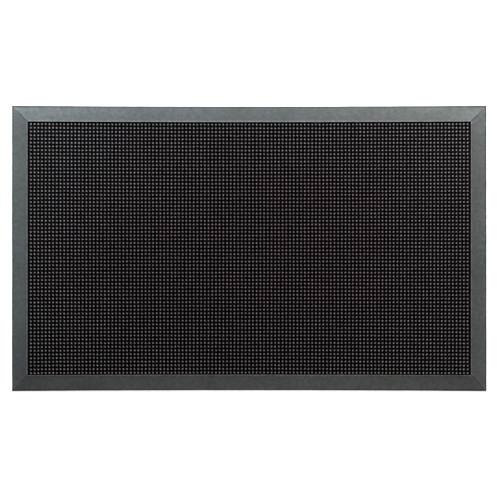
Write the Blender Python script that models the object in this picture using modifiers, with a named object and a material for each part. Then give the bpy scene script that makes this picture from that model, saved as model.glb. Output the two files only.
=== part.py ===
"""Rubber pin door mat, in metres, +Z up, resting on Z = 0 with the origin under its middle.

The mat is a backing sheet, a panel moulded with rows of pins, which is bonded on it, and four ramp
strips that frame the panel. A strip is rebated underneath, so that it stands on the floor and
overlaps the edge of the backing sheet, and the strips meet in mitres at the corners.
"""

import math

import bmesh
import bpy

# Overall size
LENGTH = 0.762  # along X
WIDTH = 0.4572  # along Y

# Ramp strips
BORDER_WIDTH = 0.0254  # from the outer edge to the inner wall
EDGE_HEIGHT = 0.0020  # upright outer edge
LIP_HEIGHT = 0.0095  # lip above the floor
LIP_WIDTH = 0.0022  # level land beside the inner wall
LIP_RADIUS = 0.0007
EDGE_RADIUS = 0.0005
BOND_OVERLAP = 0.0120  # how far a strip covers the backing sheet

# Sheets
BACKING_THICKNESS = 0.0020
PANEL_THICKNESS = 0.0012  # the panel's web, between the pins

# Pins
PIN_PITCH = 0.00595
PIN_HEIGHT = 0.0065  # above the panel's web
PIN_ROOT_WIDTH = 0.0036
PIN_TIP_WIDTH = 0.0028
PIN_TIP_CHAMFER = 0.0005

# Gap left for the bond between two pieces
BOND_GAP = 0.0003
ROUND_SEGMENTS = 3

# Worked out from the sizes above
PANEL_BOTTOM = BACKING_THICKNESS + BOND_GAP
OPENING_LENGTH = LENGTH - 2 * BORDER_WIDTH
OPENING_WIDTH = WIDTH - 2 * BORDER_WIDTH
PIN_COLUMNS = math.floor(OPENING_LENGTH / PIN_PITCH)
PIN_ROWS = math.floor(OPENING_WIDTH / PIN_PITCH)

BORDER_GREY = (0.062, 0.070, 0.071, 1.0)
PANEL_BLACK = (0.018, 0.018, 0.019, 1.0)
BACKING_BLACK = (0.028, 0.029, 0.030, 1.0)


def clear_scene():
    for obj in list(bpy.data.objects):
        bpy.data.objects.remove(obj)


def rubber(name, colour, roughness):
    material = bpy.data.materials.new(name)
    material.use_nodes = True
    shader = material.node_tree.nodes["Principled BSDF"]
    shader.inputs["Base Color"].default_value = colour
    shader.inputs["Roughness"].default_value = roughness
    shader.inputs["Metallic"].default_value = 0.0
    return material


def add_object(name, bm, material, collection):
    """Turns the bmesh into a named object of the mat, with its normals facing out."""
    bmesh.ops.recalc_face_normals(bm, faces=bm.faces)
    mesh = bpy.data.meshes.new(name)
    bm.to_mesh(mesh)
    bm.free()
    if material:
        mesh.materials.append(material)
    obj = bpy.data.objects.new(name, mesh)
    collection.objects.link(obj)
    return obj


def box(length, width, height):
    """A box standing on Z = 0, centred in X and Y."""
    bm = bmesh.new()
    bmesh.ops.create_cube(bm, size=1.0)
    bmesh.ops.translate(bm, vec=(0, 0, 0.5), verts=bm.verts)
    bmesh.ops.scale(bm, vec=(length, width, height), verts=bm.verts)
    return bm


def strip_profile(bm):
    """The strip's cross-section as one face at X = 0: Y runs inward from the outer edge, Z up."""
    rebate_start = BORDER_WIDTH - BOND_OVERLAP
    corners = [
        (0.0, 0.0),
        (0.0, EDGE_HEIGHT),
        (BORDER_WIDTH - LIP_WIDTH, LIP_HEIGHT),
        (BORDER_WIDTH, LIP_HEIGHT),
        (BORDER_WIDTH, PANEL_BOTTOM),
        (rebate_start, PANEL_BOTTOM),
        (rebate_start, 0.0),
    ]
    points = [bm.verts.new((0.0, inward, height)) for inward, height in corners]
    bm.faces.new(points)
    rounded = {1: EDGE_RADIUS, 3: LIP_RADIUS}
    for corner, radius in rounded.items():
        bmesh.ops.bevel(
            bm,
            geom=[points[corner]],
            offset=radius,
            segments=ROUND_SEGMENTS,
            profile=0.5,
            affect="VERTICES",
        )


def add_strip(name, outer_length, place, turn, material, collection):
    """A ramp strip whose ends are cut back at 45 degrees, to meet its neighbours in a mitre."""
    bm = bmesh.new()
    strip_profile(bm)
    swept = bmesh.ops.extrude_face_region(bm, geom=list(bm.faces))
    far_end = [item for item in swept["geom"] if isinstance(item, bmesh.types.BMVert)]
    near_end = [vert for vert in bm.verts if vert not in far_end]
    setback = BOND_GAP / math.sqrt(2)
    for side, verts in ((-1, near_end), (1, far_end)):
        for vert in verts:
            vert.co.x = side * (outer_length / 2 - vert.co.y - setback)
    strip = add_object(name, bm, material, collection)
    strip.location = place
    strip.rotation_euler.z = math.radians(turn)


def add_border(material, collection):
    """Four strips, each turned so that its inner wall faces the middle of the mat."""
    add_strip("border_front", LENGTH, (0, -WIDTH / 2, 0), 0, material, collection)
    add_strip("border_back", LENGTH, (0, WIDTH / 2, 0), 180, material, collection)
    add_strip("border_right", WIDTH, (LENGTH / 2, 0, 0), 90, material, collection)
    add_strip("border_left", WIDTH, (-LENGTH / 2, 0, 0), -90, material, collection)


def add_backing_sheet(material, collection):
    """The sheet under the whole mat, its edge in the rebates of the strips."""
    inset = BORDER_WIDTH - BOND_OVERLAP + BOND_GAP
    bm = box(LENGTH - 2 * inset, WIDTH - 2 * inset, BACKING_THICKNESS)
    add_object("backing_sheet", bm, material, collection)


def pin_row_former(collection):
    """The rows of pins as one joining tool. A row is a bar as long as its pins reach, with their
    height, taper and tip width, and its foot is sunk into the panel."""
    sunk = PANEL_THICKNESS / 2
    bm = box((PIN_COLUMNS - 1) * PIN_PITCH + PIN_ROOT_WIDTH, PIN_ROOT_WIDTH, PIN_HEIGHT + sunk)
    tip = max(bm.faces, key=lambda face: face.calc_center_median().z)
    taper = (PIN_ROOT_WIDTH - PIN_TIP_WIDTH) / 2
    for vert in tip.verts:
        vert.co.x -= math.copysign(taper, vert.co.x)
        vert.co.y -= math.copysign(taper, vert.co.y)
    bmesh.ops.bevel(
        bm,
        geom=list(tip.edges),
        offset=PIN_TIP_CHAMFER,
        segments=1,
        profile=0.5,
        affect="EDGES",
    )
    former = add_object("pin_row_former", bm, None, collection)
    former.location = (0, -(PIN_ROWS - 1) * PIN_PITCH / 2, PANEL_BOTTOM + PANEL_THICKNESS - sunk)
    former.hide_render = True
    former.display_type = "WIRE"
    rows = former.modifiers.new("rows", "ARRAY")
    rows.count = PIN_ROWS
    rows.use_relative_offset = False
    rows.use_constant_offset = True
    rows.constant_offset_displace = (0, PIN_PITCH, 0)
    return former


def add_pin_panel(material, collection, formers):
    """The sheet between the inner walls of the strips, and the rows of pins moulded on it."""
    bm = box(OPENING_LENGTH - 2 * BOND_GAP, OPENING_WIDTH - 2 * BOND_GAP, PANEL_THICKNESS)
    panel = add_object("pin_panel", bm, material, collection)
    panel.location.z = PANEL_BOTTOM
    join = panel.modifiers.new("pin rows", "BOOLEAN")
    join.operation = "UNION"
    join.solver = "EXACT"
    join.object = pin_row_former(formers)


def main():
    clear_scene()
    mat = bpy.data.collections.new("door_mat")
    formers = bpy.data.collections.new("formers")
    bpy.context.scene.collection.children.link(mat)
    bpy.context.scene.collection.children.link(formers)
    add_border(rubber("border_rubber", BORDER_GREY, 0.55), mat)
    add_backing_sheet(rubber("backing_rubber", BACKING_BLACK, 0.70), mat)
    add_pin_panel(rubber("panel_rubber", PANEL_BLACK, 0.60), mat, formers)


main()
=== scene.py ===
"""The finished rubber pin door mat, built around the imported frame: moulded pins, grained ramp
strips with a raised lip, and a studded backing. Metres, +Z up."""

import math

import bmesh
import bpy
import numpy as np
from mathutils import Matrix, Vector


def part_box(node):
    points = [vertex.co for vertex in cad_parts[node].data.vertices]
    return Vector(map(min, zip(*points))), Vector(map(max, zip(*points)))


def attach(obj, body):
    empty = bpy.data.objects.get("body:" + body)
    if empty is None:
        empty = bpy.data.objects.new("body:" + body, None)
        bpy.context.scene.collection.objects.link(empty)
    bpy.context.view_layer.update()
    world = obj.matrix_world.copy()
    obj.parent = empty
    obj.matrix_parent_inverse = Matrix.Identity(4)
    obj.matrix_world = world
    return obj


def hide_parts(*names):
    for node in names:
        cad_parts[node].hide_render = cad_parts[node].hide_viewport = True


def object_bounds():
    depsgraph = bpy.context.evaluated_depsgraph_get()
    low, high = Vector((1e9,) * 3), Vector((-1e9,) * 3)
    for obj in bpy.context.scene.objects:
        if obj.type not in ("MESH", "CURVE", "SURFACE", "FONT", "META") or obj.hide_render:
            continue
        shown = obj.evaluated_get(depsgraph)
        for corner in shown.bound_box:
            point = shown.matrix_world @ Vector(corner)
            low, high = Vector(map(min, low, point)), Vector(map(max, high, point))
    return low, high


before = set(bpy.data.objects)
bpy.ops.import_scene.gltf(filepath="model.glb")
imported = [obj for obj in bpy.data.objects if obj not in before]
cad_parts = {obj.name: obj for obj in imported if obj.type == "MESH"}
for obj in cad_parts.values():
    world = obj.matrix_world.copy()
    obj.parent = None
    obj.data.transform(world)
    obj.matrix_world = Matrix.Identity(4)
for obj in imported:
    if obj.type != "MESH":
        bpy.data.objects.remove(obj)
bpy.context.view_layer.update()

MM = 0.001

# From the frame
MAT_LOW, MAT_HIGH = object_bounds()
LENGTH = MAT_HIGH.x - MAT_LOW.x
WIDTH = MAT_HIGH.y - MAT_LOW.y
BACKING_LOW, BACKING_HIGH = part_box("backing_sheet")
PANEL_LOW, PANEL_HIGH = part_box("pin_panel")
STRIP_LOW, STRIP_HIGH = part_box("border_front")
BORDER_WIDTH = STRIP_HIGH.y - STRIP_LOW.y
LIP_TOP = STRIP_HIGH.z
BOND_GAP = PANEL_LOW.z - BACKING_HIGH.z

# Pins, from the panel's web up
PIN_PITCH = 5.95 * MM
WEB_TOP = PANEL_LOW.z + 1.2 * MM
PIN_HEIGHT = PANEL_HIGH.z - WEB_TOP
PIN_COLUMNS = math.floor((PANEL_HIGH.x - PANEL_LOW.x) / PIN_PITCH)
PIN_ROWS = math.floor((PANEL_HIGH.y - PANEL_LOW.y) / PIN_PITCH)
FIRST_PIN = (
    (PANEL_LOW.x + PANEL_HIGH.x - (PIN_COLUMNS - 1) * PIN_PITCH) / 2,
    (PANEL_LOW.y + PANEL_HIGH.y - (PIN_ROWS - 1) * PIN_PITCH) / 2,
)
PIN_SIDES = 8
PIN_ROOT_RADIUS = 2.20 * MM
PIN_RINGS = (  # radius, and share of the pin's height
    (1.90 * MM, 0.08),
    (1.64 * MM, 0.55),
    (1.18 * MM, 0.90),
    (0.97 * MM, 0.97),
    (0.52 * MM, 1.00),
)
PIN_LEAN = 0.09 * MM  # each pin's own lean, as a spread
PIN_SWAY = 0.10 * MM  # what neighbours lean together
PIN_LEAN_IN = 1.30 * MM  # towards the middle, at the ends of the mat
PIN_LEAN_FRONT = 0.80 * MM  # towards the front, everywhere
PIN_BEND = 1.3  # over 1, a pin stays straighter near its root
PIN_UNEVENNESS = 0.12 * MM  # how much shorter a pin can be
PIN_SEED = 17
PANEL_BLOCKS = (3, 2)  # along X and Y
MAP_BAND = 0.05  # share of a block's map that its underside and rim take
MAP_FACES_UP = 0.01  # least upward normal of a face that is seen from above

# Ramp strips
EDGE_HEIGHT = 2.0 * MM
EDGE_RADIUS = 0.35 * MM
LIP_WIDTH = 1.4 * MM
LIP_RISE = 0.75 * MM  # from the lip's outer edge to its inner one
LIP_STEP = 0.45 * MM  # from the ramp up to the lip
LIP_SLOPE = 0.25 * MM  # how far the step leans outward
LIP_RADIUS = 0.3 * MM
LIP_FADE = 3.5 * MM  # how far before a mitre the lip starts to sink
SMALL_RADIUS = 0.2 * MM
RAMP_CROWN = 0.25 * MM
RAMP_CUTS = 9
SECTION_LENGTH = 4.0 * MM
END_SECTION = 0.9 * MM
END_SECTIONS = 5
STRIP_UNEVENNESS = 0.10 * MM
MITRE_GAP = 0.02 * MM
MITRE_CHAMFER = 0.15 * MM
ROUND_SEGMENTS = 4

# Backing
STUD_PITCH = 8.0 * MM
STUD_DEPTH = 0.5 * MM
STUD_GROOVE = 0.8 * MM
STUD_DRAFT = 0.3 * MM

# The long sides come in by this much at the middle, and go out by it at the corners
WAIST = 0.7 * MM

MERGE = 0.02 * MM
FINE_MERGE = 0.01 * MERGE
SMOOTH_ANGLE = math.radians(40)


# ---------------------------------------------------------------- meshing


def draw_waist(bm):
    """Draws the middle of the mat in and its corners out, as the moulded rubber has shrunk."""
    for vert in bm.verts:
        along = (2 * vert.co.x / LENGTH) ** 2
        vert.co.y *= 1 + (2 * along - 1) * 2 * WAIST / WIDTH


def make_piece(name, bm, material, slot, *nodes):
    """The bmesh as a finished piece that stands for those CAD nodes."""
    draw_waist(bm)
    bmesh.ops.recalc_face_normals(bm, faces=bm.faces)
    mesh = bpy.data.meshes.new(name)
    bm.to_mesh(mesh)
    bm.free()
    mesh.materials.append(material)
    mesh.shade_smooth()
    mesh.set_sharp_from_angle(angle=SMOOTH_ANGLE)
    piece = bpy.data.objects.new(name, mesh)
    bpy.context.scene.collection.objects.link(piece)
    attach(piece, "root")
    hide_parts(*nodes)
    return piece


def verts_of(geom):
    return [item for item in geom if isinstance(item, bmesh.types.BMVert)]


def faces_of(geom):
    return [item for item in geom if isinstance(item, bmesh.types.BMFace)]


def draw_on(bm, faces, step):
    """Draws an end of a shape on by step and opens its old end, so that nothing stays inside."""
    drawn = bmesh.ops.extrude_face_region(bm, geom=faces)["geom"]
    bmesh.ops.delete(bm, geom=faces, context="FACES_ONLY")
    bmesh.ops.translate(bm, vec=step, verts=verts_of(drawn))
    return drawn


# ---------------------------------------------------------------- pin panel


def add_pin_tile(bm):
    """One pin in the middle of its square of web. Its sides are rings drawn up from the root, and
    the web is the root ring drawn out to the square."""
    circle = bmesh.ops.create_circle(
        bm, cap_ends=True, radius=PIN_ROOT_RADIUS, segments=PIN_SIDES
    )
    bmesh.ops.translate(bm, vec=(0, 0, WEB_TOP), verts=circle["verts"])
    root_edges = list(bm.edges)
    tip = list(bm.faces)
    radius, level = PIN_ROOT_RADIUS, 0.0
    for ring_radius, share in PIN_RINGS:
        drawn = draw_on(bm, tip, (0, 0, (share - level) * PIN_HEIGHT))
        tip = faces_of(drawn)
        grow = ring_radius / radius
        bmesh.ops.scale(bm, vec=(grow, grow, 1), verts=verts_of(drawn))
        radius, level = ring_radius, share
    web = bmesh.ops.extrude_edge_only(bm, edges=root_edges)["geom"]
    for vert in verts_of(web):
        outwards = max(abs(vert.co.x), abs(vert.co.y))
        vert.co.x = round(vert.co.x / outwards) * PIN_PITCH / 2
        vert.co.y = round(vert.co.y / outwards) * PIN_PITCH / 2


def repeat(bm, count, step):
    """Copies everything in the bmesh along step until there are count of it."""
    pattern = bm.verts[:] + bm.edges[:] + bm.faces[:]
    for number in range(1, count):
        copy = bmesh.ops.duplicate(bm, geom=pattern)["geom"]
        bmesh.ops.translate(bm, vec=step * number, verts=verts_of(copy))


def close_panel_block(bm):
    """Draws the web out to the edge of the panel where it lies along it, then draws its rim down
    and closes the underside."""
    rim = [edge for edge in bm.edges if edge.is_boundary]
    for vert in {vert for edge in rim for vert in edge.verts}:
        for axis in (0, 1):
            for limit in (PANEL_LOW[axis], PANEL_HIGH[axis]):
                if abs(vert.co[axis] - limit) < PIN_PITCH / 2:
                    vert.co[axis] = limit
    walls = bmesh.ops.extrude_edge_only(bm, edges=rim)["geom"]
    for vert in verts_of(walls):
        vert.co.z = PANEL_LOW.z
    bmesh.ops.contextual_create(bm, geom=[edge for edge in bm.edges if edge.is_boundary])


def numbers(items, name, width=1):
    """One value or vector of every item, as an array."""
    found = np.empty(len(items) * width)
    items.foreach_get(name, found)
    return found.reshape(-1, width)


def lay_out_map(mesh):
    """A map of a block as it looks from above, in which each upright pin's sides lie round its
    tip. The underside and the rim share a narrow band beside it."""
    places = numbers(mesh.vertices, "co", 3)
    low, high = places.min(axis=0), places.max(axis=0)
    corner = numbers(mesh.loops, "vertex_index")[:, 0].astype(int)
    shares = ((places - low) / (high - low))[corner]
    faces_up = numbers(mesh.polygons, "normal", 3)[:, 2] > MAP_FACES_UP
    corners_per_face = numbers(mesh.polygons, "loop_total")[:, 0].astype(int)
    on_top = np.repeat(faces_up, corners_per_face)[:, None]
    above = shares[:, :2] * (1, 1 - MAP_BAND) + (0, MAP_BAND)
    below = shares[:, :2] * (0.96, 0.6 * MAP_BAND) + shares[:, 2:] * (0.04, 0.3 * MAP_BAND)
    layout = np.where(on_top, above, below).astype(np.float32)
    mesh.uv_layers.new(name="OFBake").uv.foreach_set("vector", layout.ravel())


def lean_pins(mesh):
    """Moves the tips a little, as rubber pins stand: all lean towards the front and the middle,
    each leans its own way too, and neighbours sway together. The roots stay on the web."""
    random = np.random.default_rng(PIN_SEED)
    own = random.normal(0, PIN_LEAN, (PIN_COLUMNS, PIN_ROWS, 2))
    short = random.uniform(0, PIN_UNEVENNESS, (PIN_COLUMNS, PIN_ROWS))
    places = numbers(mesh.vertices, "co", 3)
    spot = np.rint((places[:, :2] - FIRST_PIN) / PIN_PITCH).astype(int)
    column = spot[:, 0].clip(0, PIN_COLUMNS - 1)
    row = spot[:, 1].clip(0, PIN_ROWS - 1)
    up = ((places[:, 2] - WEB_TOP) / PIN_HEIGHT).clip(0, 1)
    bend = up**PIN_BEND
    sway_x = np.sin(column * 0.21 + row * 0.34) * np.cos(row * 0.13)
    sway_y = np.sin(column * 0.11 - row * 0.27 + 1.0)
    from_middle = column / (PIN_COLUMNS - 1) * 2 - 1
    lean_x = own[column, row, 0] + PIN_SWAY * sway_x - PIN_LEAN_IN * from_middle
    lean_y = own[column, row, 1] + PIN_SWAY * sway_y - PIN_LEAN_FRONT
    places[:, 0] += bend * lean_x
    places[:, 1] += bend * lean_y
    places[:, 2] -= up * short[column, row]
    mesh.vertices.foreach_set("co", places.ravel())
    mesh.update()


def add_pin_panel(material):
    """The panel, meshed in blocks, with every pin on it."""
    across, deep = PANEL_BLOCKS
    column_cuts = [round(PIN_COLUMNS * n / across) for n in range(across + 1)]
    row_cuts = [round(PIN_ROWS * n / deep) for n in range(deep + 1)]
    for i in range(across):
        for j in range(deep):
            bm = bmesh.new()
            add_pin_tile(bm)
            repeat(bm, column_cuts[i + 1] - column_cuts[i], Vector((PIN_PITCH, 0, 0)))
            repeat(bm, row_cuts[j + 1] - row_cuts[j], Vector((0, PIN_PITCH, 0)))
            bmesh.ops.remove_doubles(bm, verts=bm.verts, dist=MERGE)
            corner = Vector((*FIRST_PIN, 0)) + PIN_PITCH * Vector((column_cuts[i], row_cuts[j], 0))
            bmesh.ops.translate(bm, vec=corner, verts=bm.verts)
            close_panel_block(bm)
            name = f"pin_panel_block_{i * deep + j + 1}"
            block = make_piece(name, bm, material, "pin_rubber", "pin_panel")
            lay_out_map(block.data)
            lean_pins(block.data)


# ---------------------------------------------------------------- ramp strips


def strip_outline(bm):
    """A strip's cross-section at X = 0, as one face: Y runs inward from its outer edge. The ramp
    has a slight crown and ends in a step up to the lip, which rises a little further inward."""
    ramp_end = BORDER_WIDTH - LIP_WIDTH
    rebate = BACKING_LOW.y - MAT_LOW.y - BOND_GAP
    corners = (
        (0, 0, SMALL_RADIUS),
        (0, EDGE_HEIGHT, EDGE_RADIUS),
        (ramp_end - LIP_SLOPE, LIP_TOP - LIP_RISE - LIP_STEP, SMALL_RADIUS),
        (ramp_end, LIP_TOP - LIP_RISE, SMALL_RADIUS),
        (BORDER_WIDTH, LIP_TOP, LIP_RADIUS),
        (BORDER_WIDTH, PANEL_LOW.z, 0),
        (rebate, PANEL_LOW.z, 0),
        (rebate, 0, 0),
    )
    points = [bm.verts.new((0, inward, level)) for inward, level, _ in corners]
    bm.faces.new(points)
    foot, top = points[1].co.copy(), points[2].co.copy()
    ramp = bm.edges.get((points[1], points[2]))
    bmesh.ops.subdivide_edges(bm, edges=[ramp], cuts=RAMP_CUTS)
    across = Vector((0, foot.z - top.z, top.y - foot.y)).normalized()
    for vert in set(bm.verts) - set(points):
        share = vert.co.y / top.y
        vert.co += across * RAMP_CROWN * 4 * share * (1 - share)
    for inward, level, radius in corners:
        if radius:
            sharp = Vector((0, inward, level))
            bmesh.ops.bevel(
                bm,
                geom=[min(bm.verts, key=lambda vert: (vert.co - sharp).length)],
                offset=radius,
                segments=ROUND_SEGMENTS,
                profile=0.5,
                affect="VERTICES",
                material=-1,
            )


def ripple(x, y, seed):
    """A smooth value from -1 to 1 that changes over some centimetres."""
    return (
        math.sin(71 * x + 1.3 * seed)
        + math.sin(153 * x - 211 * y + 2.1 * seed)
        + math.sin(97 * y + 37 * x + 0.7 * seed)
    ) / 3


def section_places(half_length):
    """Where a strip's sections lie along it, from -1 to 1, closer together at its ends."""
    close = [END_SECTION * n / half_length for n in range(END_SECTIONS + 1)]
    even = round(2 * half_length / SECTION_LENGTH)
    step = (2 - 2 * close[-1]) / even
    middle = [close[-1] - 1 + step * n for n in range(1, even)]
    return [share - 1 for share in close] + middle + [1 - share for share in reversed(close)]


def add_strip(node, outer_length, middle, turn, seed, material):
    """A ramp strip along one side. Its ends are mitred, their edges are chamfered into a seam, and
    its lip fades out just short of them."""
    bm = bmesh.new()
    strip_outline(bm)
    places = section_places(outer_length / 2)
    bmesh.ops.translate(bm, vec=(places[0], 0, 0), verts=bm.verts)
    near_end = list(bm.faces)
    far_end = faces_of(bmesh.ops.duplicate(bm, geom=near_end)["geom"])
    for here, there in zip(places, places[1:]):
        far_end = faces_of(draw_on(bm, far_end, (there - here, 0, 0)))
    bmesh.ops.remove_doubles(bm, verts=bm.verts, dist=FINE_MERGE)
    setback = MITRE_GAP / math.sqrt(2)
    lip_foot = LIP_TOP - LIP_RISE - LIP_STEP
    for vert in bm.verts:
        inward = vert.co.y
        half_length = outer_length / 2 - inward - setback
        from_end = (1 - abs(vert.co.x)) * half_length
        vert.co.x *= half_length
        fade = max(1 - from_end / LIP_FADE, 0) ** 2
        vert.co.z -= max(vert.co.z - lip_foot, 0) * fade
        above = min(max(vert.co.z / EDGE_HEIGHT - 1, 0), 1)
        vert.co.z += above * STRIP_UNEVENNESS * (ripple(vert.co.x, inward, seed) - 1) / 2
        if inward < EDGE_RADIUS:
            vert.co.y += STRIP_UNEVENNESS * (1 + ripple(vert.co.x, 0, seed + 5))
    for end, back in ((near_end, 1), (far_end, -1)):
        rim = list(end[0].verts)
        bmesh.ops.inset_region(bm, faces=end, thickness=MITRE_CHAMFER)
        bmesh.ops.translate(bm, vec=(back * MITRE_CHAMFER * 2, 0, 0), verts=rim)
    place = Matrix.Translation(middle) @ Matrix.Rotation(math.radians(turn), 4, "Z")
    bmesh.ops.transform(bm, matrix=place, verts=bm.verts)
    make_piece(f"{node}_strip", bm, material, "border_rubber", node)


def add_border(material):
    add_strip("border_front", LENGTH, (0, MAT_LOW.y, 0), 0, 1, material)
    add_strip("border_right", WIDTH, (MAT_HIGH.x, 0, 0), 90, 2, material)
    add_strip("border_back", LENGTH, (0, MAT_HIGH.y, 0), 180, 3, material)
    add_strip("border_left", WIDTH, (MAT_LOW.x, 0, 0), -90, 4, material)


# ---------------------------------------------------------------- backing


def add_backing(material):
    """The backing sheet, its underside cut by grooves into square studs that the mat stands on."""
    length, width = BACKING_HIGH.x - BACKING_LOW.x, BACKING_HIGH.y - BACKING_LOW.y
    bm = bmesh.new()
    bmesh.ops.create_grid(
        bm,
        x_segments=round(length / STUD_PITCH),
        y_segments=round(width / STUD_PITCH),
        size=0.5,
    )
    bmesh.ops.scale(bm, vec=(length, width, 1), verts=bm.verts)
    bmesh.ops.translate(bm, vec=(0, 0, BACKING_LOW.z + STUD_DEPTH), verts=bm.verts)
    studs = list(bm.faces)
    bmesh.ops.inset_individual(bm, faces=studs, thickness=STUD_GROOVE)
    bmesh.ops.inset_individual(bm, faces=studs, thickness=STUD_DRAFT)
    feet = {vert for stud in studs for vert in stud.verts}
    bmesh.ops.translate(bm, vec=(0, 0, -STUD_DEPTH), verts=list(feet))
    rim = [edge for edge in bm.edges if edge.is_boundary]
    walls = bmesh.ops.extrude_edge_only(bm, edges=rim)["geom"]
    for vert in verts_of(walls):
        vert.co.z = BACKING_HIGH.z
    bmesh.ops.contextual_create(bm, geom=[edge for edge in bm.edges if edge.is_boundary])
    make_piece("backing_sheet_studded", bm, material, "backing_rubber", "backing_sheet")


# ---------------------------------------------------------------- finishes

# Border: tones, then how much lighter or darker each mark makes them: wear, painted shade, painted
# light and a painted highlight
BORDER_GREENISH = (0.047, 0.0565, 0.055, 1)
BORDER_BLUISH = (0.055, 0.0555, 0.061, 1)
# painted highlight: the neutral grey that the lip is drawn towards
BORDER_LIP_HIGHLIGHT = (0.058, 0.058, 0.058, 1)
# painted shade: how dark the band along the outer edge is drawn
EDGE_SHADE = 0.50
# painted light: the ramp drawn lighter at its foot and darker at the lip, for light bounced from
# the pale floor
BOUNCE_AT_FOOT, BOUNCE_AT_LIP = 1.11, 0.90
# painted highlight: how much lighter the lip is drawn
LIP_HIGHLIGHT = 2.1
RIDGE = 1.18
# painted shade: how dark the inner part of each mitre crease is drawn
MITRE_SHADE = 0.60
CLOUD_LOW, CLOUD_HIGH = 0.86, 1.14
MOTTLE_LOW, MOTTLE_HIGH = 0.66, 1.34
SPECKLE_LOW, SPECKLE_HIGH = 0.80, 1.20
BORDER_ROUGH, BORDER_SMOOTH = 0.66, 0.49
BORDER_GRAIN = 0.12 * MM

# Pins
# the tips' grey is partly wear and partly a painted highlight
TIP_GREY = (0.190, 0.168, 0.180, 1)
# painted shade: the tip colour towards the middle of the mat, darker, with a browner tint
TIP_MIDDLE_SHADED = (0.150, 0.101, 0.122, 1)
# painted shade: near black for the web and the lower sides, where the gaps between pins lie in
# shade
GAP_SHADE_BLACK = (0.001, 0.001, 0.001, 1)
SIDE_GREY = (0.105, 0.090, 0.099, 1)
# where the painted shade towards the middle of the mat begins and ends
MIDDLE_SHADE_FROM, MIDDLE_SHADE_TO = 0.5, 1.25  # 1 is the end of the mat's long or short middle line
PIN_ROUGH, TIP_ROUGH = 0.62, 0.46
PIN_SPECULAR = 0.18
PIN_GRAIN = 0.06 * MM

# Backing
BACKING_DARK = (0.022, 0.023, 0.024, 1)
BACKING_LIGHT = (0.036, 0.037, 0.038, 1)
BACKING_GRAIN = 0.10 * MM


class Finish:
    """A rubber finish under construction: its material, and short ways to add nodes to it."""

    def __init__(self, name):
        self.material = bpy.data.materials.new(name)
        self.material.use_nodes = True
        self.tree = self.material.node_tree
        self.shader = self.tree.nodes["Principled BSDF"]
        self.place = self.tree.nodes.new("ShaderNodeTexCoord").outputs["Object"]

    def node(self, kind, inputs, **settings):
        made = self.tree.nodes.new(kind)
        for setting, value in settings.items():
            setattr(made, setting, value)
        for socket, value in inputs.items():
            if isinstance(value, bpy.types.NodeSocket):
                self.tree.links.new(value, made.inputs[socket])
            else:
                made.inputs[socket].default_value = value
        return made

    def maths(self, operation, first, second=0.0):
        return self.node("ShaderNodeMath", {0: first, 1: second}, operation=operation).outputs[0]

    def spread(self, value, low, high, to_low, to_high):
        """value from low to high, spread over to_low to to_high."""
        inputs = {"Value": value, 1: low, 2: high, 3: to_low, 4: to_high}
        return self.node("ShaderNodeMapRange", inputs).outputs["Result"]

    def noise(self, scale, detail=2.0, roughness=0.5):
        inputs = {"Vector": self.place, "Scale": scale, "Detail": detail, "Roughness": roughness}
        return self.node("ShaderNodeTexNoise", inputs).outputs["Fac"]

    def blend(self, share, first, second):
        """From the first colour to the second, by share."""
        inputs = {0: share, 6: first, 7: second}  # the Mix node's sockets for colours
        return self.node("ShaderNodeMix", inputs, data_type="RGBA").outputs[2]

    def shade(self, colour, *shares):
        """The colour made lighter or darker by each share in turn."""
        for share in shares:
            made = self.node("ShaderNodeVectorMath", {0: colour, "Scale": share}, operation="SCALE")
            colour = made.outputs[0]
        return colour

    def finish(self, colour, roughness, height=None, depth=0.0):
        self.tree.links.new(colour, self.shader.inputs["Base Color"])
        self.tree.links.new(roughness, self.shader.inputs["Roughness"])
        if height is not None:
            inputs = {"Height": height, "Strength": 1.0, "Distance": depth}
            bump = self.node("ShaderNodeBump", inputs)
            self.tree.links.new(bump.outputs["Normal"], self.shader.inputs["Normal"])
        return self.material


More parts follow.
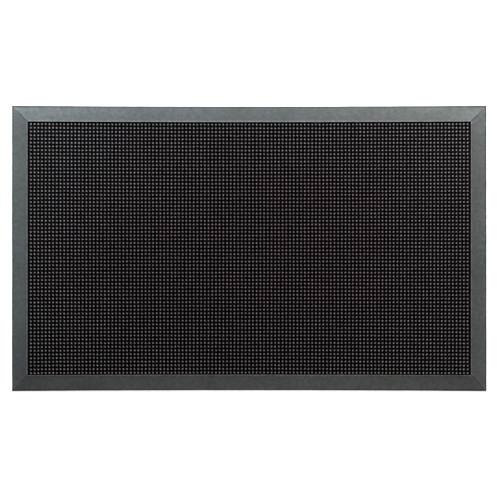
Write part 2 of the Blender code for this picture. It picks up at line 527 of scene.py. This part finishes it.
def border_rubber():
    """Dark grey rubber with a fine grain. It is drawn darker along the outer edge as painted shade,
    lighter towards the foot of the ramp and darker towards the lip as painted light bounced from
    the pale floor, and lighter along the lip as a painted highlight."""
    rubber = Finish("border_rubber")
    x, y, _ = rubber.node("ShaderNodeSeparateXYZ", {0: rubber.place}).outputs
    from_end = rubber.maths("SUBTRACT", LENGTH / 2, rubber.maths("ABSOLUTE", x))
    from_side = rubber.maths("SUBTRACT", WIDTH / 2, rubber.maths("ABSOLUTE", y))
    inward = rubber.maths("MINIMUM", from_end, from_side)
    lip = BORDER_WIDTH - LIP_WIDTH
    # painted shade: a darker band along the outer edge
    painted_edge_shade = rubber.spread(inward, 2.0 * MM, 3.0 * MM, EDGE_SHADE, 1.0)
    # painted light bounced from the pale floor: lighter towards the foot of the ramp, darker
    # towards the lip
    painted_bounce_light = rubber.spread(inward, 3 * MM, lip, BOUNCE_AT_FOOT, BOUNCE_AT_LIP)
    # painted highlight: the lip drawn lighter and greyer
    painted_lip_highlight = rubber.spread(inward, lip - 0.2 * MM, lip + 0.2 * MM, 1.0, LIP_HIGHLIGHT)
    from_mitre = rubber.maths("ABSOLUTE", rubber.maths("SUBTRACT", from_end, from_side))
    # painted shade along the inner part of each mitre crease, fading towards the outer corner
    painted_mitre_shade = rubber.maths(
        "MULTIPLY",
        rubber.spread(from_mitre, 0.4 * MM, 2.4 * MM, MITRE_SHADE, 0),
        rubber.spread(inward, 5 * MM, 15 * MM, 0.05, 1),
    )
    # the factor that draws the painted mitre shade into the colour
    seam = rubber.maths("SUBTRACT", 1.0, painted_mitre_shade)
    ridge = rubber.spread(from_mitre, 2 * MM, 9 * MM, RIDGE, 1.0)
    patches = rubber.noise(38, detail=5, roughness=0.65)
    tinge = rubber.spread(patches, 0.38, 0.62, 0, 1)
    tone = rubber.blend(tinge, BORDER_GREENISH, BORDER_BLUISH)
    tone = rubber.blend(rubber.spread(painted_lip_highlight, 1.0, LIP_HIGHLIGHT, 0, 1), tone, BORDER_LIP_HIGHLIGHT)
    coarse, middling = rubber.noise(13, detail=3), rubber.noise(150, detail=4, roughness=0.7)
    fine = rubber.noise(520, detail=2, roughness=0.6)
    cloud = rubber.spread(coarse, 0.3, 0.7, CLOUD_LOW, CLOUD_HIGH)
    mottle = rubber.spread(middling, 0.25, 0.75, MOTTLE_LOW, MOTTLE_HIGH)
    speckle = rubber.spread(fine, 0.3, 0.7, SPECKLE_LOW, SPECKLE_HIGH)
    colour = rubber.shade(tone, painted_edge_shade, painted_bounce_light, painted_lip_highlight, seam, ridge, cloud, mottle, speckle)
    grain = rubber.noise(1300, detail=3, roughness=0.6)
    roughness = rubber.spread(mottle, MOTTLE_LOW, MOTTLE_HIGH, BORDER_ROUGH, BORDER_SMOOTH)
    polished = rubber.spread(painted_lip_highlight, 1.0, LIP_HIGHLIGHT, 0.0, -0.06)
    blunt = rubber.spread(painted_edge_shade, EDGE_SHADE, 1.0, 0.25, 0.0)
    for change in (polished, blunt, rubber.maths("MULTIPLY", painted_mitre_shade, 0.3)):
        roughness = rubber.maths("ADD", roughness, change)
    return rubber.finish(colour, roughness, grain, depth=BORDER_GRAIN)


def pin_rubber():
    """Black rubber, greyer on the tips, where each pin has worn its own amount and a painted
    highlight lightens them; near black low on the pins and on the web as painted shade between
    them; and darker towards the middle of the mat as painted shade, with a browner tint there."""
    rubber = Finish("pin_rubber")
    _, _, level = rubber.node("ShaderNodeSeparateXYZ", {0: rubber.place}).outputs
    share = rubber.spread(level, WEB_TOP, WEB_TOP + PIN_HEIGHT, 0, 1)
    at_tip = rubber.spread(share, 0.84, 0.96, 0, 1)
    corner = Vector((*FIRST_PIN, 0)) - Vector((PIN_PITCH, PIN_PITCH, 0)) / 2
    from_corner = rubber.node(
        "ShaderNodeVectorMath", {0: rubber.place, 1: corner}, operation="SUBTRACT"
    )
    pin = rubber.node(
        "ShaderNodeVectorMath",
        {0: from_corner.outputs[0], 1: (PIN_PITCH, PIN_PITCH, 1)},
        operation="SNAP",
    )
    own = rubber.node("ShaderNodeTexWhiteNoise", {"Vector": pin.outputs[0]}).outputs["Value"]
    wear = rubber.spread(own, 0, 1, 0.82, 1.18)
    patch = rubber.spread(rubber.noise(7, detail=3), 0.3, 0.7, 0.9, 1.1)
    outwards = rubber.node(
        "ShaderNodeVectorMath",
        {0: rubber.place, 1: (2 / LENGTH, 2 / WIDTH, 0)},
        operation="MULTIPLY",
    )
    from_middle = rubber.node(
        "ShaderNodeVectorMath", {0: outwards.outputs[0]}, operation="LENGTH"
    ).outputs["Value"]
    # painted shade: the tips drawn darker and browner towards the middle of the mat
    painted_middle_shade = rubber.spread(from_middle, MIDDLE_SHADE_FROM, MIDDLE_SHADE_TO, 1, 0)
    tone = rubber.blend(painted_middle_shade, TIP_GREY, TIP_MIDDLE_SHADED)
    tip = rubber.shade(tone, wear, patch)
    # painted shade: near black low on the pins and on the web, greyer up the sides
    side = rubber.blend(rubber.spread(share, 0.42, 0.9, 0, 1), GAP_SHADE_BLACK, SIDE_GREY)
    # the tips drawn greyer: partly wear, partly a painted highlight
    colour = rubber.blend(at_tip, side, tip)
    roughness = rubber.spread(at_tip, 0, 1, PIN_ROUGH, TIP_ROUGH)
    rubber.shader.inputs["Specular IOR Level"].default_value = PIN_SPECULAR
    grain = rubber.noise(900, detail=2)
    return rubber.finish(colour, roughness, grain, depth=PIN_GRAIN)


def backing_rubber():
    """Matte black rubber with a fine grain and a little dust on the studs."""
    rubber = Finish("backing_rubber")
    patches = rubber.noise(14, detail=4, roughness=0.6)
    dust = rubber.spread(patches, 0.3, 0.7, 0, 1)
    colour = rubber.blend(dust, BACKING_DARK, BACKING_LIGHT)
    mottle = rubber.spread(rubber.noise(400, detail=2), 0.3, 0.7, 0.85, 1.15)
    roughness = rubber.spread(patches, 0.3, 0.7, 0.66, 0.78)
    grain = rubber.noise(1100, detail=2)
    return rubber.finish(rubber.shade(colour, mottle), roughness, grain, depth=BACKING_GRAIN)


# ---------------------------------------------------------------- studio

FLOOR_RADIUS = 20.0
FLOOR_RIM = 2.5  # turned up all round, as a backdrop
FLOOR_DROP = 0.1 * MM
CAMERA_HEIGHT = 6.0
VIEW_WIDTH = 802.8 * MM  # of the floor, from side to side
CAMERA_OFFSET = (1.2 * MM, -2.6 * MM)
SOFTBOX_PLACE = (0.64, 0.70, 0.54)  # of the right one
SOFTBOX_AIM = 0.26  # from the middle of the mat, along X
SOFTBOX_SIZE = 0.40
SOFTBOX_POWER = 14.0
COOL_WHITE = (0.90, 1.0, 1.03)
NEUTRAL_WHITE = (1.0, 0.99, 0.98)
WARM_WHITE = (1.0, 0.90, 0.76)
FILL_PLACE = (0.25, -1.1, 0.8)
FILL_SIZE = 0.7
FILL_POWER = 4.3
ROOM_STRENGTH = 0.05
FLOOR_GLOW = 0.75
FLOOR_SIDES = 64
FLOOR_WHITE = (0.86, 0.86, 0.86, 1)


def add_floor():
    bm = bmesh.new()
    bmesh.ops.create_circle(bm, cap_ends=True, radius=FLOOR_RADIUS, segments=FLOOR_SIDES)
    rim = bmesh.ops.extrude_edge_only(bm, edges=list(bm.edges))["geom"]
    bmesh.ops.translate(bm, vec=(0, 0, FLOOR_RIM), verts=verts_of(rim))
    mesh = bpy.data.meshes.new("studio_floor")
    bm.to_mesh(mesh)
    bm.free()
    floor = bpy.data.objects.new("studio_floor", mesh)
    floor.location.z = MAT_LOW.z - FLOOR_DROP
    bpy.context.scene.collection.objects.link(floor)
    paint = bpy.data.materials.new("pale_floor")
    paint.use_nodes = True
    shader = paint.node_tree.nodes["Principled BSDF"]
    shader.inputs["Base Color"].default_value = FLOOR_WHITE
    shader.inputs["Roughness"].default_value = 0.9
    shader.inputs["Emission Color"].default_value = (1, 1, 1, 1)
    shader.inputs["Emission Strength"].default_value = FLOOR_GLOW
    mesh.materials.append(paint)


def add_softbox(name, place, aim_x, size, power, colour):
    """A square softbox, aimed at a point on the mat's long middle line."""
    light = bpy.data.lights.new(name, "AREA")
    light.size = size
    light.energy = power
    light.color = colour
    box = bpy.data.objects.new(name, light)
    box.location = place
    aim = Vector((aim_x, 0, 0)) - Vector(place)
    box.rotation_euler = aim.to_track_quat("-Z", "Y").to_euler()
    box.visible_camera = False
    bpy.context.scene.collection.objects.link(box)


def add_studio():
    """Two softboxes past the back corners of the mat, each aimed at its own half, a weak one in
    front, and pale surroundings."""
    add_floor()
    for name, side, colour in (
        ("left_softbox", -1, COOL_WHITE),
        ("right_softbox", 1, NEUTRAL_WHITE),
    ):
        across, back, up = SOFTBOX_PLACE
        place = (side * across, back, up)
        aim_x = side * SOFTBOX_AIM
        add_softbox(name, place, aim_x, SOFTBOX_SIZE, SOFTBOX_POWER, colour)
    add_softbox("front_softbox", FILL_PLACE, 0, FILL_SIZE, FILL_POWER, WARM_WHITE)
    world = bpy.data.worlds.new("studio")
    world.use_nodes = True
    world.node_tree.nodes["Background"].inputs["Color"].default_value = (1, 1, 1, 1)
    world.node_tree.nodes["Background"].inputs["Strength"].default_value = ROOM_STRENGTH
    bpy.context.scene.world = world
    bpy.context.scene.view_settings.view_transform = "Standard"


def add_camera():
    """Straight above the mat, with its long side across."""
    lens = bpy.data.cameras.new("camera")
    lens.lens = lens.sensor_width * CAMERA_HEIGHT / VIEW_WIDTH
    camera = bpy.data.objects.new("camera", lens)
    camera.location = (*CAMERA_OFFSET, CAMERA_HEIGHT)
    bpy.context.scene.collection.objects.link(camera)
    bpy.context.scene.camera = camera


add_border(border_rubber())
add_pin_panel(pin_rubber())
add_backing(backing_rubber())
add_studio()
add_camera()
